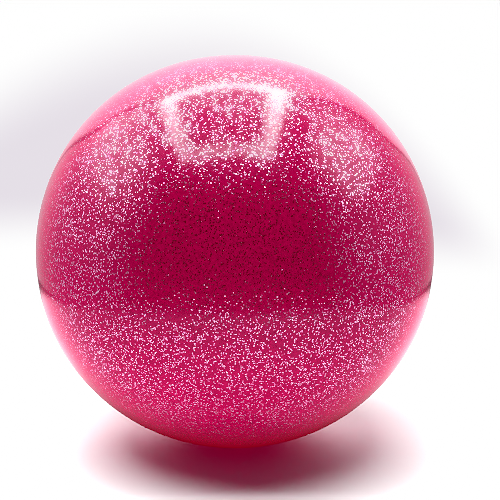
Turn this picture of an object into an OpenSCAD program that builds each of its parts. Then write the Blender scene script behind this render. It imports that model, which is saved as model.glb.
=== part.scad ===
/* [Ball] */
// Diameter of the inflated ball across its equator
ball_d = 185; // [160:1:200]
// How much wider than tall the inflated ball stands
sag = 3; // [0.5:0.5:5]
// Depth of the flat patch that the ball rests on
patch_depth = 0.6; // [0.3:0.1:1.2]

/* [Wall] */
// Thickness of the coloured moulded wall
wall_t = 3; // [2.2:0.1:3.4]
// Thickness of the clear layer that carries the glitter
glitter_t = 0.15; // [0.1:0.05:0.4]
// Thickness of the clear glossy skin
coat_t = 0.15; // [0.1:0.05:0.4]

/* [Valve] */
// Diameter of the valve housing where it shows in the surface
housing_d = 12; // [12:0.5:18]
// Diameter of the bonding flange inside the wall
flange_d = 26; // [22:1:34]
// Thickness of the bonding flange
flange_t = 1.5; // [1:0.1:2.5]
// Diameter of the boss inside the ball
boss_d = 9; // [8:0.2:12]
// Distance from the ball's surface to the inner end of the boss
boss_reach = 14; // [13:0.5:20]
// Diameter of the bore that the plug closes
bore_d = 3.6; // [3.2:0.1:4]

/* [Plug] */
// Diameter of the plug's head
head_d = 6.2; // [5.6:0.2:6.8]
// Depth of the plug's head
head_t = 1.2; // [1:0.1:1.6]
// Depth of the plug's head under the ball's surface
head_sink = 0.15; // [0.05:0.05:0.3]
// Radial clearance of the plug's stem in the bore
stem_gap = 0.05; // [0.02:0.01:0.1]
// Width of the recess around the plug's head
head_gap = 0.35; // [0.3:0.05:0.5]
// Radius of the thumbnail notch at the edge of the recess
notch_r = 1.3; // [1:0.1:1.4]

/* [Hidden] */
$fn = 128;

// the outline is an arc of radius arc_r whose centre stands arc_x out from the upright axis
arc_r = (ball_d - sag) / 2;
arc_x = sag / 2;
// height of the equator over the patch
mid_z = arc_r - patch_depth;
// depth of each surface under the outer one
glitter_in = coat_t;
shell_in = coat_t + glitter_t;
cavity_in = coat_t + glitter_t + wall_t;
// where the outer surface crosses the valve's axis
surf_y = ball_d / 2;
// floor of the recess that takes the plug's head
recess_y = surf_y - head_sink - head_t - 0.1;

// half outline of the ball at a depth under its outer surface
module outline(depth) {
    r = arc_r - depth;
    intersection() {
        union() {
            translate([arc_x, 0]) circle(r = r, $fn = 256);
            translate([0, -r]) square([arc_x, 2 * r]);
        }
        translate([0, -(mid_z - depth)]) square([ball_d, ball_d]);
    }
}

// the whole ball, solid, at a depth under its outer surface
module ball(depth) {
    translate([0, 0, mid_z]) rotate_extrude($fn = 256) outline(depth);
}

// a closed layer between two depths
module layer(outer, inner) {
    translate([0, 0, mid_z]) rotate_extrude($fn = 256)
        difference() { outline(outer); outline(inner); }
}

// a round bar along the valve's axis, from one distance to another
module along(r, y0, y1) {
    translate([0, y0, mid_z]) rotate([-90, 0, 0]) cylinder(r = r, h = y1 - y0);
}

// the same bar with its inner end rounded off
module bar(r, y0, y1, round) {
    translate([0, y0, mid_z]) rotate([-90, 0, 0]) rotate_extrude() intersection() {
        union() {
            translate([0, round]) square([r, y1 - y0 - round]);
            square([r - round, y1 - y0]);
            translate([r - round, round]) circle(r = round, $fn = 64);
        }
        square([r, y1 - y0]);
    }
}

// pink moulded wall, with the hole that the valve is bonded in
module ball_shell() {
    color("#d0154f") difference() {
        layer(shell_in, cavity_in);
        along(housing_d / 2, surf_y - 20, surf_y + 5);
    }
}

// clear layer full of glitter over the wall
module glitter_layer() {
    color("#f07aa8") difference() {
        layer(glitter_in, shell_in);
        along(housing_d / 2, surf_y - 20, surf_y + 5);
    }
}

// clear glossy skin that the hand and the floor touch
module clear_coat() {
    color("#ffb6d2", 0.5) difference() {
        layer(0, glitter_in);
        along(housing_d / 2, surf_y - 20, surf_y + 5);
    }
}

// rubber housing through the wall, with a flange bonded to the inside
module valve_housing() {
    color("#b81047") difference() {
        union() {
            // button that shows in the surface
            intersection() {
                ball(0);
                along(housing_d / 2, surf_y - 6, surf_y + 5);
            }
            // flange that follows the inside of the wall
            intersection() {
                difference() { ball(cavity_in); ball(cavity_in + flange_t); }
                along(flange_d / 2, surf_y - 12, surf_y);
            }
            // boss with a rounded end
            bar(boss_d / 2, surf_y - boss_reach, surf_y - 5, 2);
        }
        along(bore_d / 2, surf_y - boss_reach - 2, surf_y + 5);
        along(head_d / 2 + head_gap, recess_y, surf_y + 5);
        // thumbnail notch
        translate([0, recess_y, mid_z + head_d / 2 + head_gap]) rotate([-90, 0, 0])
            cylinder(r = notch_r, h = 10, $fn = 64);
    }
}

// stopper whose head lies flush and whose stem fills the bore
module valve_plug() {
    r = bore_d / 2 - stem_gap;
    tip_y = surf_y - boss_reach - 0.2;
    color("#f6f3f1") translate([0, 0, mid_z]) rotate([-90, 0, 0]) rotate_extrude() union() {
        // head, domed like the ball
        intersection() {
            circle(r = surf_y - head_sink, $fn = 720);
            translate([0, recess_y + 0.1]) square([head_d / 2, 10]);
        }
        // stem with a rounded tip
        translate([0, tip_y + 1.2]) square([r, recess_y - tip_y - 0.6]);
        intersection() {
            union() {
                translate([0, tip_y]) square([r - 1.2, 3]);
                translate([r - 1.2, tip_y + 1.2]) circle(r = 1.2, $fn = 64);
            }
            translate([0, tip_y]) square([r, 3]);
        }
    }
}

ball_shell();
glitter_layer();
clear_coat();
valve_housing();
valve_plug();
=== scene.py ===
import math

import bpy
import numpy as np
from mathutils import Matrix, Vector


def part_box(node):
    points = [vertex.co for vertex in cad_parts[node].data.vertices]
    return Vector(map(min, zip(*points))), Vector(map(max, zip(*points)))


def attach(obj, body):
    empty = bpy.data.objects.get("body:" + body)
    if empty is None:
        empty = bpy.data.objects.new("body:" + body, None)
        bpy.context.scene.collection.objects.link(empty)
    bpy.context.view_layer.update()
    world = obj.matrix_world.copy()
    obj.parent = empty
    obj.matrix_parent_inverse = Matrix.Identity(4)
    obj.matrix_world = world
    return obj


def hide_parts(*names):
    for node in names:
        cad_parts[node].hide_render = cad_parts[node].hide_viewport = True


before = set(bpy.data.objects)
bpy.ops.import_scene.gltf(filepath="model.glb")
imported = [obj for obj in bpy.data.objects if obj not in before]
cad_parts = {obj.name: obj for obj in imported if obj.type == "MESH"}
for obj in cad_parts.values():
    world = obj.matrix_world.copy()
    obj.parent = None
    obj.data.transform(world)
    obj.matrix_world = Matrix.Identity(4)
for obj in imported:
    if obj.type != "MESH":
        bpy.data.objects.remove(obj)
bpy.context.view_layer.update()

# ---------------------------------------------------------------- measures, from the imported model
coat_lo, coat_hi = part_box("clear_coat")
wall_lo, wall_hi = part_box("ball_shell")
plug_lo, plug_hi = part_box("valve_plug")
hous_lo, hous_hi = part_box("valve_housing")

SAG_X = 0.0015                       # how far the outline's arc stands out from the upright axis
ARC = coat_hi.x - SAG_X              # radius of that arc on the outer surface
MID = coat_hi.z - ARC                # height of the equator
EQ = coat_hi.x                       # half the width
LAYER = 0.00015                      # each clear layer
WALL_IN = 0.0033                     # depth of the cavity's surface
HOUSING_R = 0.006
FLANGE_R = (hous_hi.x - hous_lo.x) / 2
FLANGE_T = 0.0015
BOSS_R, BOSS_END = 0.0045, hous_lo.y
BORE_R, STEM_R = 0.0018, 0.00175
HEAD_R = (plug_hi.x - plug_lo.x) / 2
HEAD_TOP = plug_hi.y
RECESS_R = HEAD_R + 0.00035
RECESS_Y = HEAD_TOP - 0.0012 - 0.0001
NOTCH_R = 0.0013
TIP_Y = plug_lo.y

rng = np.random.default_rng(20416)


# ---------------------------------------------------------------- the ball's form
def soft_floor(z, floor, width):
    """z held above floor, with a rounded edge to the flat patch, and the slope of that."""
    h = np.clip(0.5 + 0.5 * (z - floor) / width, 0, 1)
    out = floor + (z - floor) * h + width * h * (1 - h)
    slope = np.clip(h + (0.5 / width) * (z - floor) + 0.5 * (1 - 2 * h), 0, 1)
    slope = np.where(h <= 0, 0.0, np.where(h >= 1, 1.0, slope))
    return out, slope


def form(d, depth):
    """Points and normals of the ball's surface at a depth, from unit outward directions."""
    d = np.asarray(d, float)
    flat = np.hypot(d[:, 0], d[:, 1])
    h = d[:, :2] / np.maximum(flat, 1e-9)[:, None]
    r = ARC - np.broadcast_to(depth, flat.shape)
    p = np.empty_like(d)
    p[:, :2] = h * (SAG_X * np.minimum(flat / 0.02, 1) + r * flat)[:, None]
    z, slope = soft_floor(MID + r * d[:, 2], np.broadcast_to(depth, flat.shape), 0.00018)
    p[:, 2] = z
    n = np.column_stack([d[:, 0] * slope, d[:, 1] * slope, d[:, 2]])
    n /= np.linalg.norm(n, axis=1)[:, None]
    return p, n


def mesh_object(name, verts, faces, normals=None, smooth=True, slots=()):
    """An object from a vertex array and a list of equal-length face arrays."""
    me = bpy.data.meshes.new(name)
    loops = np.concatenate([f.ravel() for f in faces]).astype(np.int32)
    sizes = np.concatenate([np.full(len(f), f.shape[1]) for f in faces]).astype(np.int32)
    starts = np.concatenate([[0], np.cumsum(sizes)[:-1]]).astype(np.int32)
    me.vertices.add(len(verts))
    me.vertices.foreach_set("co", np.asarray(verts, np.float32).ravel())
    me.loops.add(len(loops))
    me.loops.foreach_set("vertex_index", loops)
    me.polygons.add(len(sizes))
    me.polygons.foreach_set("loop_start", starts)
    me.polygons.foreach_set("use_smooth", np.full(len(sizes), smooth))
    me.update(calc_edges=True)
    me.validate()
    if normals is not None:
        me.normals_split_custom_set_from_vertices(np.asarray(normals, np.float32))
    ob = bpy.data.objects.new(name, me)
    bpy.context.scene.collection.objects.link(ob)
    for m in slots:
        me.materials.append(m)
    return ob


def shell_grid(n, hole_angle, rings):
    """Unit directions and quads of a closed round form in six square patches, where the patch at +Y opens to a round hole.
    The last value is the hole's loop of points, in order."""
    pts, quads, key = [], [], {}

    def put(v):
        v = v / np.linalg.norm(v)
        k = tuple(np.round(v, 7) + 0.0)
        if k not in key:
            key[k] = len(pts)
            pts.append(v)
        return key[k]

    t = np.tan(np.linspace(-math.pi / 4, math.pi / 4, n + 1))
    axes = np.eye(3)
    for u, v, w in ((1, 2, 0), (2, 1, 0), (0, 1, 2), (1, 0, 2), (2, 0, 1)):
        sign = 1 if (u, v, w) in ((1, 2, 0), (0, 1, 2)) else -1
        if (u, v, w) == (2, 0, 1):
            sign = -1
            u, v = 0, 2
        ids = [[put(axes[w] * sign + axes[u] * a + axes[v] * b) for b in t] for a in t]
        for i in range(n):
            for j in range(n):
                q = [ids[i][j], ids[i + 1][j], ids[i + 1][j + 1], ids[i][j + 1]]
                a, b, c = (np.array(pts[k]) for k in q[:3])
                if np.dot(np.cross(b - a, c - a), a) < 0:
                    q.reverse()
                quads.append(q)
    # the patch at +Y: rings that turn from the square edge to the round hole
    edge = [(1.0, b) for b in t[:-1]] + [(-a, 1.0) for a in t[:-1]] + [(-1.0, -b) for b in t[:-1]] + [(a, -1.0) for a in t[:-1]]
    outer = [put(np.array([x, 1.0, z])) for x, z in edge]
    loops = [outer]
    for k in range(1, rings + 1):
        s = k / rings
        ring = []
        for (x, z), o in zip(edge, outer):
            p = np.array(pts[o])
            far = math.acos(p[1])
            side = np.array([p[0], p[2]]) / math.hypot(p[0], p[2])
            turn = math.atan2(side[1], side[0])
            even = math.atan2(z, x)
            # an even turn round the hole, the square's own turn at the edge
            m = edge.index((x, z))
            round_turn = -math.pi / 4 + 2 * math.pi * m / len(edge)
            while round_turn - even > math.pi:
                round_turn -= 2 * math.pi
            while even - round_turn > math.pi:
                round_turn += 2 * math.pi
            a = turn + (round_turn - even) * s
            dist = far + (hole_angle - far) * (s ** 0.9)
            ring.append(put(np.array([math.sin(dist) * math.cos(a), math.cos(dist), math.sin(dist) * math.sin(a)])))
        loops.append(ring)
    for a, b in zip(loops[:-1], loops[1:]):
        m = len(a)
        for i in range(m):
            q = [a[i], a[(i + 1) % m], b[(i + 1) % m], b[i]]
            p, r, s = (np.array(pts[k]) for k in q[:3])
            if np.dot(np.cross(r - p, s - p), p) < 0:
                q.reverse()
            quads.append(q)
    return np.array(pts), np.array(quads), np.array(loops[-1])


def layer_object(name, n, rings, outer, inner, gap, slots, wobble=0.0):
    """A closed layer of the ball between two depths, with the round hole for the valve. Face slots: 0 outer, 1 inner and rim."""
    hole = math.asin((HOUSING_R + gap) / (EQ - outer))
    d, quads, loop = shell_grid(n, hole, rings)
    po, no = form(d, outer)
    pi_, ni = form(d, inner)
    k = len(d)
    # the two rims lie straight in from each other, along the valve's axis
    for p in (po, pi_):
        c = np.array([0, MID])
        side = p[loop][:, [0, 2]] - c
        side /= np.linalg.norm(side, axis=1)[:, None]
        p[loop, 0] = side[:, 0] * (HOUSING_R + gap)
        p[loop, 2] = MID + side[:, 1] * (HOUSING_R + gap)
    m = len(loop)
    a, b = loop, np.roll(loop, -1)
    rim = np.column_stack([a, b, b + k, a + k])
    v = np.vstack([po, pi_])
    mid = v[rim].mean(1)
    cr = np.cross(v[rim[:, 1]] - v[rim[:, 0]], v[rim[:, 2]] - v[rim[:, 0]])
    inward = np.column_stack([-mid[:, 0], np.zeros(m), MID - mid[:, 2]])
    if (cr * inward).sum() < 0:
        rim = rim[:, ::-1]
    faces = [quads, quads[:, ::-1] + k, rim]
    ob = mesh_object(name, v, faces, None, True, slots)
    me = ob.data
    # exact normals, so that reflections run true over the facets
    nf = [len(quads), len(quads), len(rim)]
    side_n = np.column_stack([-mid[:, 0], np.zeros(m), MID - mid[:, 2]])
    side_n /= np.linalg.norm(side_n, axis=1)[:, None]
    per_loop = np.vstack([
        no[quads.ravel()], -ni[quads[:, ::-1].ravel()],
        np.repeat(side_n, 4, axis=0),
    ])
    me.normals_split_custom_set(per_loop.astype(np.float32))
    if len(slots) > 1:
        idx = np.concatenate([np.zeros(nf[0]), np.ones(nf[1] + nf[2])]).astype(np.int32)
        me.polygons.foreach_set("material_index", idx)
    me.update()
    return ob


# ---------------------------------------------------------------- node helpers
class Nodes:
    def __init__(self, tree):
        self.t = tree
        self.t.nodes.clear()

    def new(self, kind, **props):
        n = self.t.nodes.new(kind)
        for k, v in props.items():
            setattr(n, k, v)
        return n

    def set(self, socket, value):
        if isinstance(value, bpy.types.NodeSocket):
            self.t.links.new(value, socket)
        else:
            socket.default_value = value

    def math(self, op, a, b=None, c=None, clamp=False):
        n = self.new("ShaderNodeMath", operation=op, use_clamp=clamp)
        for s, v in zip(n.inputs, (a, b, c)):
            if v is not None:
                self.set(s, v)
        return n.outputs[0]

    def add(self, a, b): return self.math("ADD", a, b)
    def sub(self, a, b): return self.math("SUBTRACT", a, b)
    def mul(self, a, b): return self.math("MULTIPLY", a, b)
    def div(self, a, b): return self.math("DIVIDE", a, b)
    def abs(self, a): return self.math("ABSOLUTE", a)
    def max(self, a, b): return self.math("MAXIMUM", a, b)
    def min(self, a, b): return self.math("MINIMUM", a, b)

    def step(self, x, lo, hi, a=0.0, b=1.0):
        """Smooth from a at lo to b at hi."""
        n = self.new("ShaderNodeMapRange", interpolation_type="SMOOTHSTEP")
        self.set(n.inputs["Value"], x)
        if lo > hi:
            lo, hi, a, b = hi, lo, b, a
        n.inputs["From Min"].default_value = lo
        n.inputs["From Max"].default_value = hi
        n.inputs["To Min"].default_value = a
        n.inputs["To Max"].default_value = b
        return n.outputs["Result"]

    def mix(self, f, a, b):
        """Mix of two colours."""
        n = self.new("ShaderNodeMix", data_type="RGBA")
        self.set(n.inputs["Factor"], f)
        self.set(n.inputs[6], a)
        self.set(n.inputs[7], b)
        return n.outputs[2]


def rgb(r, g, b):
    return (r, g, b, 1.0)


def srgb(r, g, b):
    f = lambda c: c / 12.92 if c <= 0.04045 else ((c + 0.055) / 1.055) ** 2.4
    return (f(r / 255), f(g / 255), f(b / 255), 1.0)


# ---------------------------------------------------------------- camera
ELEV = math.radians(12.0)
DIST = 1.0
cam_data = bpy.data.cameras.new("camera")
cam = bpy.data.objects.new("camera", cam_data)
bpy.context.scene.collection.objects.link(cam)
cam_data.sensor_width = 36.0
FOCAL_PX = 2144.0
cam_data.lens = 36.0 * FOCAL_PX / 500.0
cam_data.clip_start, cam_data.clip_end = 0.05, 50.0
cam_data.dof.use_dof = False
centre = Vector((0, 0, MID))
back = Vector((0, -math.cos(ELEV), math.sin(ELEV)))
right = Vector((1, 0, 0))
up = back.cross(right)
cam.location = centre + back * DIST
aim = centre + right * (14.95 / FOCAL_PX * DIST) + up * (1.3 / FOCAL_PX * DIST)
cam.rotation_euler = (cam.location - aim).to_track_quat("Z", "Y").to_euler()
bpy.context.scene.camera = cam

# ---------------------------------------------------------------- light: a soft white photo tent
# What is mirrored, what lights from all round, and what the camera sees behind the object are set apart.
world = bpy.data.worlds.new("tent")
bpy.context.scene.world = world
world.use_nodes = True
W = Nodes(world.node_tree)
sep = W.new("ShaderNodeSeparateXYZ")
W.t.links.new(W.new("ShaderNodeTexCoord").outputs["Generated"], sep.inputs[0])
X, Y, Z = sep.outputs
azim = W.mul(W.math("ARCTAN2", X, W.mul(Y, -1.0)), 180 / math.pi)      # 0 at the front opening, 90 at +X
elev = W.mul(W.math("ARCSINE", Z), 180 / math.pi)
aaz = W.abs(azim)
on_left = W.step(X, 0.22, -0.22)
up_z = W.max(Z, 0.05)
PX, PY = W.div(X, up_z), W.div(Y, up_z)


def bump_in(x, a, b, c, d):
    """1 between b and c, falling to 0 at a and d."""
    return W.mul(W.step(x, a, b), W.step(x, d, c))


# the lamp frame under the roof: a soft rectangle ring, strongest along its back bar and at its back corners
CX, CY, HX, HY = -0.095, 0.17, 0.43, 0.55
qx = W.div(W.abs(W.sub(PX, CX)), HX)
qy = W.div(W.abs(W.sub(PY, CY)), HY)
q = W.max(qx, qy)
ring = W.mul(W.mul(W.step(q, 0.66, 0.84), W.step(q, 1.14, 0.95)), W.step(Z, 0.3, 0.5))
ring = W.mul(ring, W.step(PY, -0.45, 0.70, 0.36, 1.15))
ring = W.mul(ring, W.mul(W.step(qx, 0.6, 0.85, 1.0, 1.45), W.step(PX, 0.0, 0.3, 1.0, 1.35)))
halo = W.mul(W.mul(W.step(q, 1.7, 0.9), W.step(Z, 0.25, 0.6)), W.step(PX, 0.2, 0.6, 1.0, 1.6))
# walls, brighter upwards, with a soft bright patch high on each side and a dark gap below the lamp
wall_l = W.add(W.step(elev, -18, 14, 0.75, 1.35), W.step(elev, 10, 36, 0.0, 1.35))
wall_r = W.add(W.step(elev, -18, 14, 0.70, 1.16), W.step(elev, 20, 44, 0.0, 1.15))
wall = W.add(W.mul(wall_l, on_left), W.mul(wall_r, W.sub(1.0, on_left)))
wall = W.mul(wall, W.step(elev, 64, 44, 0.45, 1.0))
patch_l = W.mul(bump_in(elev, 16, 31, 40, 52), bump_in(azim, -150, -136, -98, -78))
patch_r = W.mul(bump_in(elev, 18, 32, 50, 61), bump_in(azim, 68, 88, 120, 140))
patch = W.add(W.mul(patch_l, 1.7), W.mul(patch_r, 2.1))
# the corners where the side walls meet the back wall, and the edge where the walls meet the floor, both with a thin dark seam
corner = W.add(W.mul(W.step(elev, -14, 24, 168.0, 143.3), on_left), W.mul(W.step(elev, -14, 16, 168.0, 146.9), W.sub(1.0, on_left)))
past = W.sub(aaz, corner)
wide = W.step(elev, -4, 24, 0.9, 2.2)
back = W.mul(W.step(past, -1.0, 1.0), W.add(W.step(elev, -16, 50, 0.52, 1.28), bump_in(elev, 40, 52, 66, 80)))
edge = W.min(W.add(W.mul(W.max(aaz, 107.0), 0.144), -38.4), -14.6)
over = W.sub(elev, edge)
seam = W.mul(W.step(W.div(W.abs(past), wide), 1.0, 0.4), W.step(elev, 66, 50))
seam = W.max(seam, W.mul(W.step(W.abs(W.sub(over, 0.5)), 1.1, 0.3), bump_in(aaz, 110, 132, 168, 176)))
# the open front
opening = W.max(W.step(aaz, 48, 92), W.step(elev, 46, 74))
behind = W.mul(W.step(past, -1.0, 1.0), on_left)
level = W.add(W.mul(W.mul(W.add(wall, patch), opening), W.sub(1.0, W.mul(behind, 0.25))), back)
level = W.mul(level, W.sub(1.0, W.mul(seam, 0.76)))
level = W.add(W.add(level, W.mul(halo, 0.66)), W.add(W.mul(ring, 12.0), 0.012))
floor_on = W.step(W.div(over, W.step(aaz, 50, 110, 5.0, 0.7)), 1.0, -1.0)
# the mirrored floor, with a painted shadow behind and under the ball where its level falls to half
level = W.add(W.mul(level, W.sub(1.0, floor_on)), W.mul(floor_on, W.mul(W.step(aaz, 60, 118, 1.28, 1.75), W.step(W.div(W.sub(180.0, aaz), W.max(W.sub(-11.0, elev), 1.0)), 0.2, 0.95, 0.5, 1.0))))
bg_mirror = W.new("ShaderNodeBackground")
bg_mirror.inputs["Color"].default_value = rgb(1.0, 0.95, 0.98)
W.set(bg_mirror.inputs["Strength"], level)
bg_front = W.new("ShaderNodeBackground")            # a trace of dark red in the open front
bg_front.inputs["Color"].default_value = rgb(1.0, 0.02, 0.10)
W.set(bg_front.inputs["Strength"], W.mul(W.sub(1.0, opening), W.mul(W.sub(1.0, floor_on), 0.11)))
both = W.new("ShaderNodeAddShader")
W.t.links.new(bg_mirror.outputs[0], both.inputs[0])
W.t.links.new(bg_front.outputs[0], both.inputs[1])
# a little light from all round, for matt surfaces
soft = W.step(aaz, 40, 150, 0.10, 0.16)
bg_soft = W.new("ShaderNodeBackground")
bg_soft.inputs["Color"].default_value = rgb(1, 1, 1)
W.set(bg_soft.inputs["Strength"], soft)
# behind the object: white, with a painted shade of lavender grey on the backdrop above the floor
bg_seen = W.new("ShaderNodeBackground")
turn_b = W.mul(W.math("ARCTAN2", X, Y), 180 / math.pi)      # 0 straight behind the object, + towards +X
off = W.add(turn_b, 0.925)
lid = W.sub(-5.3, W.mul(W.mul(off, off), W.step(off, -0.5, 0.5, 0.054, 0.089)))
# painted shade: the lavender grey band where the backdrop falls into shade
backdrop_shade = W.mul(W.step(W.sub(lid, elev), 0.0, 2.6), W.step(W.sub(elev, W.step(turn_b, -2, 4, 0.0, -0.7)), -11.95, -10.35))
W.set(bg_seen.inputs["Color"], W.mix(backdrop_shade, rgb(1, 1, 1), srgb(229.5, 225, 231)))
bg_seen.inputs["Strength"].default_value = 1.0
path = W.new("ShaderNodeLightPath")
mix1 = W.new("ShaderNodeMixShader")
W.t.links.new(path.outputs["Is Glossy Ray"], mix1.inputs[0])
W.t.links.new(bg_soft.outputs[0], mix1.inputs[1])
W.t.links.new(both.outputs[0], mix1.inputs[2])
mixw = W.new("ShaderNodeMixShader")
W.t.links.new(path.outputs["Is Camera Ray"], mixw.inputs[0])
W.t.links.new(mix1.outputs[0], mixw.inputs[1])
W.t.links.new(bg_seen.outputs[0], mixw.inputs[2])
outw = W.new("ShaderNodeOutputWorld")
W.t.links.new(mixw.outputs[0], outw.inputs["Surface"])
world.cycles.sampling_method = "NONE"


def panel(name, place, turn, size, radiance):
    """A soft light panel that lights matt surfaces; its mirror image is painted in the tent above."""
    data = bpy.data.lights.new(name, "AREA")
    data.shape = "RECTANGLE"
    data.size, data.size_y = size
    data.energy = radiance * math.pi * size[0] * size[1]
    ob = bpy.data.objects.new(name, data)
    ob.location, ob.rotation_euler = place, turn
    ob.visible_glossy = False
    ob.visible_camera = False
    bpy.context.scene.collection.objects.link(ob)
    return ob


PI = math.pi
FLOOR_LIGHTS = [
    panel("roof_panel", (-0.049, -0.033, 0.35), (0, 0, 0), (0.488, 0.18), 17.8),
    panel("back_panel", (0, 1.0, 0.42), (-PI / 2, 0, 0), (1.25, 0.84), 10.8),
]


def around(az, dist, height):
    """A place round the ball and the turn that makes a panel there face it."""
    x, y = dist * math.sin(math.radians(az)), -dist * math.cos(math.radians(az))
    v = Vector((x, y, height - MID))
    return (x, y, height), v.to_track_quat("Z", "Y").to_euler()


BALL_LIGHTS = [
    panel("top_panel", (0, 0, 1.0), (0, 0, 0), (0.8, 0.8), 4.6),
    panel("left_panel", *around(-115, 1.0, 0.38), (0.8, 0.7), 6.2),
    panel("right_panel", *around(115, 1.0, 0.38), (0.8, 0.7), 6.2),
    panel("front_panel", *around(0, 1.4, 0.30), (1.0, 1.0), 2.0),
    panel("under_panel", (0, -0.01, -0.035), (PI, 0, 0), (0.16, 0.16), 0.62),
]

sc = bpy.context.scene
sc.view_settings.view_transform = "Standard"
sc.view_settings.look = "None"
sc.view_settings.exposure = 0.0
sc.cycles.filter_width = 1.05
sc.cycles.use_denoising = False

# ---------------------------------------------------------------- floor
R0 = 0.7
ang = np.linspace(0, 2 * math.pi, 97)[:-1]
fv = [(0, 0, -0.0002)]
ringsf = [0.05, 0.1, 0.2, 0.35, R0]
for r in ringsf:
    fv += [(r * math.cos(a), r * math.sin(a), -0.0002) for a in ang]
fv = np.array(fv)
nA = len(ang)
tri = np.array([[0, 1 + i, 1 + (i + 1) % nA] for i in range(nA)])
quadf = np.array([[1 + k * nA + i, 1 + (k + 1) * nA + i, 1 + (k + 1) * nA + (i + 1) % nA, 1 + k * nA + (i + 1) % nA] for k in range(len(ringsf) - 1) for i in range(nA)])
floor_mat = bpy.data.materials.new("floor")
floor_mat.use_nodes = True
F = Nodes(floor_mat.node_tree)
pos = F.new("ShaderNodeVectorMath", operation="MULTIPLY_ADD")
F.t.links.new(F.new("ShaderNodeNewGeometry").outputs["Position"], pos.inputs[0])
pos.inputs[1].default_value, pos.inputs[2].default_value = (1, 1, 1), (0, 0, 0)
sepf = F.new("ShaderNodeSeparateXYZ")
F.t.links.new(pos.outputs[0], sepf.inputs[0])
rad = F.math("SQRT", F.add(F.mul(sepf.outputs[0], sepf.outputs[0]), F.mul(sepf.outputs[1], sepf.outputs[1])))
fade = F.step(rad, 0.17, 0.26)
dif = F.new("ShaderNodeBsdfDiffuse")
dif.inputs["Color"].default_value = rgb(0.66, 0.66, 0.66)
clear = F.new("ShaderNodeBsdfTransparent")
mixf = F.new("ShaderNodeMixShader")
F.t.links.new(fade, mixf.inputs[0])
F.t.links.new(dif.outputs[0], mixf.inputs[1])
F.t.links.new(clear.outputs[0], mixf.inputs[2])
outf = F.new("ShaderNodeOutputMaterial")
F.t.links.new(mixf.outputs[0], outf.inputs["Surface"])
floor = mesh_object("floor", fv, [tri, quadf], None, False, [floor_mat])
floor.visible_glossy = False
# what is mirrored of the floor close to the object: only a painted shadow under it, a dark pink glowing round spot
painted_shadow_mat = floor_mat.copy()
painted_shadow_mat.name = "floor_painted_shadow"
for n in painted_shadow_mat.node_tree.nodes:
    if n.bl_idname == "ShaderNodeMapRange":
        n.inputs["From Min"].default_value, n.inputs["From Max"].default_value = 0.045, 0.150
    if n.bl_idname == "ShaderNodeVectorMath":
        n.inputs[1].default_value, n.inputs[2].default_value = (1.15, 1, 1), (0, -0.030, 0)
# painted shadow: this dark pink glow stands in for the ball's shadow and its pink bounce on the floor, seen only in
# reflections
painted_shadow_glow = painted_shadow_mat.node_tree.nodes.new("ShaderNodeEmission")
painted_shadow_glow.inputs["Color"].default_value = rgb(0.30, 0.004, 0.04)
for n in painted_shadow_mat.node_tree.nodes:
    if n.bl_idname == "ShaderNodeMixShader":
        painted_shadow_mat.node_tree.links.new(painted_shadow_glow.outputs[0], n.inputs[1])
painted_shadow_disc = mesh_object("floor_painted_shadow", fv, [tri, quadf], None, False, [painted_shadow_mat])
for ray in ("camera", "diffuse", "transmission", "volume_scatter", "shadow"):
    setattr(painted_shadow_disc, "visible_" + ray, False)

# ---------------------------------------------------------------- materials
def material(name):
    m = bpy.data.materials.new(name)
    m.use_nodes = True
    return m, Nodes(m.node_tree)


pink, P = material("pink_wall")
tex = P.new("ShaderNodeTexCoord").outputs["Object"]
cloud = P.new("ShaderNodeTexNoise")
cloud.inputs["Scale"].default_value = 60
cloud.inputs["Detail"].default_value = 3
P.t.links.new(tex, cloud.inputs["Vector"])
fine = P.new("ShaderNodeTexNoise")
fine.inputs["Scale"].default_value = 620
fine.inputs["Detail"].default_value = 3
P.t.links.new(tex, fine.inputs["Vector"])
mottle = P.add(P.mul(cloud.outputs["Fac"], 0.35), P.mul(P.step(fine.outputs["Fac"], 0.36, 0.62), 0.65))
base = P.mix(mottle, rgb(0.43, 0.010, 0.108), rgb(0.61, 0.026, 0.160))
pb = P.new("ShaderNodeBsdfPrincipled")
P.t.links.new(base, pb.inputs["Base Color"])
pb.inputs["Roughness"].default_value = 0.55
pb.inputs["Specular IOR Level"].default_value = 0.0
po = P.new("ShaderNodeOutputMaterial")
P.t.links.new(pb.outputs[0], po.inputs["Surface"])

inner_pink, IP = material("pink_inside")
tex = IP.new("ShaderNodeTexCoord").outputs["Object"]
cl2 = IP.new("ShaderNodeTexNoise")
cl2.inputs["Scale"].default_value = 120
IP.t.links.new(tex, cl2.inputs["Vector"])
ipb = IP.new("ShaderNodeBsdfPrincipled")
IP.t.links.new(IP.mix(cl2.outputs["Fac"], rgb(0.42, 0.002, 0.06), rgb(0.5, 0.004, 0.08)), ipb.inputs["Base Color"])
ipb.inputs["Roughness"].default_value = 0.6
ipo = IP.new("ShaderNodeOutputMaterial")
IP.t.links.new(ipb.outputs[0], ipo.inputs["Surface"])

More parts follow.
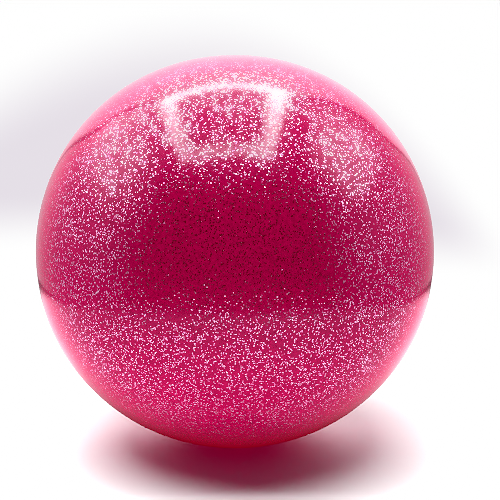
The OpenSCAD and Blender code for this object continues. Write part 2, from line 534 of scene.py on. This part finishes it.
coat_mat, C = material("clear_skin")
tex = C.new("ShaderNodeTexCoord").outputs["Object"]
peel = C.new("ShaderNodeTexNoise")
peel.inputs["Scale"].default_value = 420
peel.inputs["Detail"].default_value = 2
C.t.links.new(tex, peel.inputs["Vector"])
bump = C.new("ShaderNodeBump")
bump.inputs["Strength"].default_value = 0.08
bump.inputs["Distance"].default_value = 0.0004
C.t.links.new(peel.outputs["Fac"], bump.inputs["Height"])
face = C.new("ShaderNodeLayerWeight")
face.inputs["Blend"].default_value = 0.5
C.t.links.new(bump.outputs[0], face.inputs["Normal"])
fres = C.add(C.mul(C.math("POWER", face.outputs["Facing"], 5.0), 0.86), 0.037)   # the same from either side
glo = C.new("ShaderNodeBsdfGlossy")
glo.inputs["Roughness"].default_value = 0.10
C.t.links.new(bump.outputs[0], glo.inputs["Normal"])
tra = C.new("ShaderNodeBsdfTransparent")
tra.inputs["Color"].default_value = rgb(1.0, 0.985, 0.995)
haze = C.new("ShaderNodeBsdfGlossy")
haze.inputs["Color"].default_value = rgb(0.86, 0.06, 0.20)
haze.inputs["Roughness"].default_value = 0.16
C.t.links.new(bump.outputs[0], haze.inputs["Normal"])
mixh = C.new("ShaderNodeMixShader")
C.set(mixh.inputs[0], C.step(face.outputs["Facing"], 0.50, 0.92, 0.0, 0.72))
C.t.links.new(tra.outputs[0], mixh.inputs[1])
C.t.links.new(haze.outputs[0], mixh.inputs[2])
mixc = C.new("ShaderNodeMixShader")
C.t.links.new(fres, mixc.inputs[0])
C.t.links.new(mixh.outputs[0], mixc.inputs[1])
C.t.links.new(glo.outputs[0], mixc.inputs[2])
co = C.new("ShaderNodeOutputMaterial")
C.t.links.new(mixc.outputs[0], co.inputs["Surface"])

coat_in, CI = material("clear_skin_inside")
tra2 = CI.new("ShaderNodeBsdfTransparent")
coi = CI.new("ShaderNodeOutputMaterial")
CI.t.links.new(tra2.outputs[0], coi.inputs["Surface"])

# ---------------------------------------------------------------- ball pieces
N_GRID = 64
wall = layer_object("pink_wall", N_GRID, 36, 2 * LAYER, WALL_IN, 0.00002, [pink, inner_pink])
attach(wall, "ball"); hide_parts("ball_shell")
coat = layer_object("clear_skin", N_GRID, 36, 0.0, LAYER, 0.00002, [coat_mat, coat_in])
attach(coat, "ball"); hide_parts("clear_coat")


# ---------------------------------------------------------------- glitter: closed hexagonal wafers laid in the clear layer
def flakes(name, count, size, tilt, mat, seed, depth):
    r = np.random.default_rng(seed)
    z = r.uniform(-1, 1, count)
    a = r.uniform(0, 2 * math.pi, count)
    s = np.sqrt(1 - z * z)
    d = np.column_stack([s * np.cos(a), s * np.sin(a), z])
    near = np.hypot(d[:, 0], d[:, 2]) * EQ
    d = d[~((near < HOUSING_R + 0.0006) & (d[:, 1] > 0))]
    n = len(d)
    across = size * np.clip(r.normal(1, 0.12, n), 0.6, 1.4) / 2 / math.cos(math.pi / 6)
    p, nrm = form(d, r.uniform(*depth, n))
    # lean each flake off the surface
    h = np.where(np.abs(nrm[:, 2:3]) < 0.9, [[0, 0, 1.0]], [[1.0, 0, 0]])
    t1 = np.cross(h, nrm)
    t1 /= np.linalg.norm(t1, axis=1)[:, None]
    t2 = np.cross(nrm, t1)
    lean = np.tan(np.radians(r.normal(0, tilt, (n, 2))) * np.where(r.random(n) < 0.10, 1.7, 1.0)[:, None])
    fn = nrm + t1 * lean[:, :1] + t2 * lean[:, 1:]
    fn /= np.linalg.norm(fn, axis=1)[:, None]
    turn = r.uniform(0, 2 * math.pi, n)
    u = t1 * np.cos(turn)[:, None] + t2 * np.sin(turn)[:, None]
    u -= fn * (u * fn).sum(1)[:, None]
    u /= np.linalg.norm(u, axis=1)[:, None]
    w = np.cross(fn, u)
    k = np.arange(6) * math.pi / 3
    rim = p[:, None] + across[:, None, None] * (u[:, None] * np.cos(k)[None, :, None] + w[:, None] * np.sin(k)[None, :, None])
    thick = 0.000012
    top = p + fn * thick
    bot = p - fn * thick
    v = np.concatenate([rim, top[:, None], bot[:, None]], 1).reshape(-1, 3)
    o = (np.arange(n) * 8)[:, None]
    f = []
    for i in range(6):
        j = (i + 1) % 6
        f.append(np.concatenate([o + i, o + j, o + 6], 1))
        f.append(np.concatenate([o + j, o + i, o + 7], 1))
    f = np.stack(f, 1).reshape(-1, 3)
    ob = mesh_object(name, v, [f], np.repeat(fn, 8, axis=0), True, [mat])
    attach(ob, "ball")
    return ob


def flake_material(name, colour, rough):
    m, n = material(name)
    b = n.new("ShaderNodeBsdfPrincipled")
    b.inputs["Base Color"].default_value = colour
    b.inputs["Metallic"].default_value = 1.0
    b.inputs["Roughness"].default_value = rough
    o = n.new("ShaderNodeOutputMaterial")
    n.t.links.new(b.outputs[0], o.inputs["Surface"])
    return m


F_SIZE = 0.00050
COUNT = 11000
flake_set = []
for i, (nm, col, rough) in enumerate((
    ("silver_a", rgb(0.99, 0.70, 0.90), 0.14), ("silver_b", rgb(0.98, 0.63, 0.87), 0.18), ("silver_c", rgb(0.98, 0.66, 0.88), 0.22),
    ("rose_a", rgb(0.97, 0.52, 0.80), 0.18), ("silver_d", rgb(0.99, 0.77, 0.93), 0.12), ("rose_b", rgb(0.95, 0.42, 0.72), 0.24),
)):
    fm = flake_material("flake_" + nm, col, rough)
    ob = flakes("glitter_" + nm, COUNT, F_SIZE, 3.2, fm, 900 + i, (LAYER + 0.00004, 2 * LAYER - 0.00004))
    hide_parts("glitter_layer")
    flake_set.append(ob)


# ---------------------------------------------------------------- valve
def lathe(name, profile, seg, mats, normals=None, radial=None):
    """A closed form turned about the valve's axis from a closed profile of (radius, y) points."""
    prof = np.array(profile, float)
    m = len(prof)
    a = np.linspace(0, 2 * math.pi, seg + 1)[:-1]
    v, ids = [], np.zeros((m, seg), int)
    for i, (r, y) in enumerate(prof):
        if r < 1e-9:
            ids[i, :] = len(v)
            v.append((0, y, MID))
            continue
        for j, t in enumerate(a):
            rr = r if radial is None else radial(i, r, t)
            ids[i, j] = len(v)
            v.append((rr * math.cos(t), y, MID + rr * math.sin(t)))
    faces3, faces4 = [], []
    closed = not (prof[0, 0] < 1e-9 and prof[-1, 0] < 1e-9)
    for i in range(m if closed else m - 1):
        i2 = (i + 1) % m
        for j in range(seg):
            j2 = (j + 1) % seg
            q = [ids[i, j], ids[i, j2], ids[i2, j2], ids[i2, j]]
            u = list(dict.fromkeys(q))
            if len(u) == 4:
                faces4.append(q)
            elif len(u) == 3:
                faces3.append(u)
    fs = [np.array(f) for f in (faces4, faces3) if len(f)]
    ob = mesh_object(name, np.array(v), fs, None, True, mats)
    return ob


def arc(cx, cy, r, a0, a1, n):
    return [(cx + r * math.cos(math.radians(a0 + (a1 - a0) * i / n)), cy + r * math.sin(math.radians(a0 + (a1 - a0) * i / n))) for i in range(n + 1)]


def dome(r, depth=0.0):
    """Distance along the valve's axis of the ball's surface, at a distance r from that axis."""
    return math.sqrt((EQ - depth) ** 2 - r * r)


rub, RB = material("valve_rubber")
tex = RB.new("ShaderNodeTexCoord").outputs["Object"]
nz = RB.new("ShaderNodeTexNoise")
nz.inputs["Scale"].default_value = 900
nz.inputs["Detail"].default_value = 3
RB.t.links.new(tex, nz.inputs["Vector"])
bmp = RB.new("ShaderNodeBump")
bmp.inputs["Strength"].default_value = 0.25
bmp.inputs["Distance"].default_value = 0.0001
RB.t.links.new(nz.outputs["Fac"], bmp.inputs["Height"])
rb = RB.new("ShaderNodeBsdfPrincipled")
RB.t.links.new(RB.mix(nz.outputs["Fac"], rgb(0.33, 0.004, 0.05), rgb(0.42, 0.008, 0.075)), rb.inputs["Base Color"])
RB.t.links.new(RB.step(nz.outputs["Fac"], 0.3, 0.7, 0.42, 0.6), rb.inputs["Roughness"])
RB.t.links.new(bmp.outputs[0], rb.inputs["Normal"])
ro = RB.new("ShaderNodeOutputMaterial")
RB.t.links.new(rb.outputs[0], ro.inputs["Surface"])

plg, PL = material("plug_plastic")
tex = PL.new("ShaderNodeTexCoord").outputs["Object"]
nz = PL.new("ShaderNodeTexNoise")
nz.inputs["Scale"].default_value = 700
nz.inputs["Detail"].default_value = 3
PL.t.links.new(tex, nz.inputs["Vector"])
bmp = PL.new("ShaderNodeBump")
bmp.inputs["Strength"].default_value = 0.12
bmp.inputs["Distance"].default_value = 0.0001
PL.t.links.new(nz.outputs["Fac"], bmp.inputs["Height"])
plb = PL.new("ShaderNodeBsdfPrincipled")
PL.t.links.new(PL.mix(nz.outputs["Fac"], rgb(0.80, 0.78, 0.76), rgb(0.88, 0.865, 0.845)), plb.inputs["Base Color"])
PL.t.links.new(PL.step(nz.outputs["Fac"], 0.3, 0.7, 0.28, 0.4), plb.inputs["Roughness"])
PL.t.links.new(bmp.outputs[0], plb.inputs["Normal"])
plo = PL.new("ShaderNodeOutputMaterial")
PL.t.links.new(plb.outputs[0], plo.inputs["Surface"])

# housing: from the outer rim of the button, over the lip, down the recess, through the bore, round the boss and flange
lip = 0.00018
e = 0.00022
hp = []
# outer side of the button, from the wall's outside up to the edge
hp += [(HOUSING_R - 0.00002, dome(HOUSING_R, WALL_IN) + 0.0), (HOUSING_R - 0.00002, dome(HOUSING_R) - 0.0012)]
hp += arc(HOUSING_R - 0.00002 - e, dome(HOUSING_R) - e - 0.00006, e, 0, 78, 6)
r_in = RECESS_R + lip
hp += [(HOUSING_R - e - (HOUSING_R - e - r_in) * s, dome(HOUSING_R - e - (HOUSING_R - e - r_in) * s) - 0.00004) for s in (0.12, 0.35, 0.6, 0.85)]
hp += [(x, y) for x, y in arc(RECESS_R + lip, dome(RECESS_R) - lip - 0.00005, lip, 90, 180, 6)]
NOTCHED_FROM = len(hp) - 7
hp += [(RECESS_R, RECESS_Y + 0.0005)]
hp += arc(RECESS_R - 0.0002, RECESS_Y + 0.0002, 0.0002, 0, -90, 4)
NOTCHED_TO = len(hp)
hp += [(BORE_R + 0.0006, RECESS_Y)]
hp += arc(BORE_R + 0.0002, RECESS_Y - 0.0002, 0.0002, 90, 180, 4)
hp += [(BORE_R, RECESS_Y - 0.003), (BORE_R, BOSS_END + 0.003)]
hp += arc(BORE_R + 0.00015, BOSS_END + 0.00015, 0.00015, 180, 270, 3)
hp += [(0.0022, BOSS_END)]
hp += arc(BOSS_R - 0.002, BOSS_END + 0.002, 0.002, 270, 360, 8)[1:]
fl_in = lambda r: dome(r, WALL_IN + FLANGE_T)
fl_out = lambda r: dome(r, WALL_IN + 0.00002)
hp += [(BOSS_R, BOSS_END + 0.006), (BOSS_R, fl_in(BOSS_R) - 0.0006)]
hp += arc(BOSS_R + 0.0006, fl_in(BOSS_R) - 0.0006, 0.0006, 180, 90, 4)[1:]
hp += [(r, fl_in(r)) for r in (0.007, 0.009, 0.011, FLANGE_R - 0.0006)]
hp += [(FLANGE_R - 0.0001, fl_in(FLANGE_R) + 0.0003), (FLANGE_R - 0.00002, fl_out(FLANGE_R) - 0.0003), (FLANGE_R - 0.0002, fl_out(FLANGE_R) - 0.00005)]
hp += [(r, fl_out(r)) for r in (0.0115, 0.0095, 0.0078, 0.0065)]


def notch(i, r, t):
    """The recess's side swells out to a thumbnail notch at the top."""
    if not NOTCHED_FROM <= i < NOTCHED_TO:
        return r
    away = math.atan2(math.sin(t - math.pi / 2), math.cos(t - math.pi / 2))
    s = RECESS_R * math.sin(away)
    if abs(away) > 1.2 or abs(s) >= NOTCH_R:
        return r
    reach = RECESS_R * math.cos(away) + math.sqrt(NOTCH_R ** 2 - s * s)
    return max(r, r - RECESS_R + reach)


housing = lathe("valve_housing_body", hp, 160, [rub], radial=notch)
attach(housing, "ball"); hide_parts("valve_housing")

# plug: domed head with a rounded edge and a small dimple, stem with a rounded tip
pp = [(0.0, HEAD_TOP - 0.00022), (0.0004, HEAD_TOP - 0.00021), (0.0008, HEAD_TOP - 0.00012), (0.0011, HEAD_TOP - 0.00003)]
pp += [(r, dome(r, EQ - HEAD_TOP)) for r in (0.0014, 0.0019, 0.0024, HEAD_R - 0.00035)]
yt = dome(HEAD_R, EQ - HEAD_TOP)
pp += arc(HEAD_R - 0.00025, yt - 0.00025, 0.00025, 84, 0, 6)
pp += [(HEAD_R, RECESS_Y + 0.0003)]
pp += arc(HEAD_R - 0.00012, RECESS_Y + 0.00022, 0.00012, 0, -90, 4)
pp += [(STEM_R + 0.0003, RECESS_Y + 0.0001)]
pp += [(STEM_R, RECESS_Y - 0.0001), (STEM_R, TIP_Y + 0.006), (STEM_R, TIP_Y + 0.0012)]
pp += arc(STEM_R - 0.0012, TIP_Y + 0.0012, 0.0012, 0, -90, 8)[1:]
pp += [(0.0, TIP_Y)]
plug = lathe("plug_stopper", pp, 96, [plg])
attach(plug, "plug"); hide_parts("valve_plug")

for ob in (housing, plug):
    me = ob.data
    me.set_sharp_from_angle(angle=math.radians(35))

# ---------------------------------------------------------------- which light reaches what
def group(name, members):
    c = bpy.data.collections.new(name)
    for ob in members:
        c.objects.link(ob)
    return c


BALL = [wall, coat, housing, plug] + flake_set
only_floor = group("only_floor", [floor, painted_shadow_disc])
only_ball = group("only_ball", BALL)
for ob in FLOOR_LIGHTS:
    ob.light_linking.receiver_collection = only_floor
for ob in BALL_LIGHTS:
    ob.light_linking.receiver_collection = only_ball
    ob.light_linking.blocker_collection = only_ball
for ob in [coat] + flake_set:
    ob.visible_diffuse = False

# ---------------------------------------------------------------- finish of the picture: the floor is smoothed, the glitter stays as rendered
bpy.context.view_layer.use_pass_position = True
sc.use_nodes = True
K = Nodes(sc.node_tree)
src = K.new("CompositorNodeRLayers")
den = K.new("CompositorNodeDenoise")
K.set(den.inputs["Image"], src.outputs["Image"])
place = K.new("CompositorNodeSeparateXYZ")
K.set(place.inputs[0], src.outputs["Position"])


def calc(op, a, b):
    n = K.new("CompositorNodeMath", operation=op)
    K.set(n.inputs[0], a)
    K.set(n.inputs[1], b)
    return n.outputs[0]


px, py, pz = place.outputs[0], place.outputs[1], calc("SUBTRACT", place.outputs[2], MID)
away = calc("ADD", calc("ADD", calc("MULTIPLY", px, px), calc("MULTIPLY", py, py)), calc("MULTIPLY", pz, pz))
on_ball = calc("MULTIPLY", calc("LESS_THAN", away, (EQ + 0.0003) ** 2), calc("GREATER_THAN", pz, 0.0095 - MID))
pick = K.new("CompositorNodeMixRGB")
K.set(pick.inputs[0], on_ball)
K.set(pick.inputs[1], den.outputs["Image"])
K.set(pick.inputs[2], src.outputs["Image"])
pick.use_clamp = True
# where many flakes shine together the lens spreads their light
alone = K.new("CompositorNodeMixRGB", blend_type="MULTIPLY")
alone.inputs[0].default_value = 1.0
K.set(alone.inputs[1], pick.outputs[0])
K.set(alone.inputs[2], on_ball)


def spread(px):
    """The picture of the ball alone, spread over a few pixels without its surroundings."""
    out = []
    for source in (alone.outputs[0], on_ball):
        n = K.new("CompositorNodeBlur", filter_type="GAUSS", size_x=px, size_y=px)
        K.set(n.inputs["Image"], source)
        out.append(n.outputs[0])
    n = K.new("CompositorNodeMixRGB", blend_type="DIVIDE")
    n.inputs[0].default_value = 1.0
    K.set(n.inputs[1], out[0])
    K.set(n.inputs[2], out[1])
    return n.outputs[0]


near, far = spread(6), spread(8)
chan = K.new("CompositorNodeSeparateColor")
K.set(chan.inputs[0], far)
lit = K.new("CompositorNodeMapRange", use_clamp=True)
K.set(lit.inputs[0], chan.outputs[1])
for k, v in zip((1, 2, 3, 4), (0.17, 0.42, 0.0, 0.54)):
    lit.inputs[k].default_value = v
bloom = K.new("CompositorNodeMixRGB")
K.set(bloom.inputs[0], calc("MULTIPLY", lit.outputs[0], on_ball))
K.set(bloom.inputs[1], pick.outputs[0])
K.set(bloom.inputs[2], near)
enc = K.new("CompositorNodeGamma")
K.set(enc.inputs[0], bloom.outputs[0])
enc.inputs[1].default_value = 1 / 2.2
sat = K.new("CompositorNodeHueSat")
K.set(sat.inputs["Image"], enc.outputs[0])
sat.inputs["Saturation"].default_value = 1.30
shp = K.new("CompositorNodeFilter", filter_type="SHARPEN_DIAMOND")
K.set(shp.inputs["Image"], sat.outputs[0])
shp.inputs["Fac"].default_value = 0.10
keep = K.new("CompositorNodeMixRGB", use_clamp=True)
keep.inputs[0].default_value = 0.0
K.set(keep.inputs[1], shp.outputs[0])
lim = K.new("CompositorNodeGamma")
K.set(lim.inputs[0], keep.outputs[0])
lim.inputs[1].default_value = 2.2
fin = K.new("CompositorNodeComposite")
K.set(fin.inputs[0], lim.outputs[0])
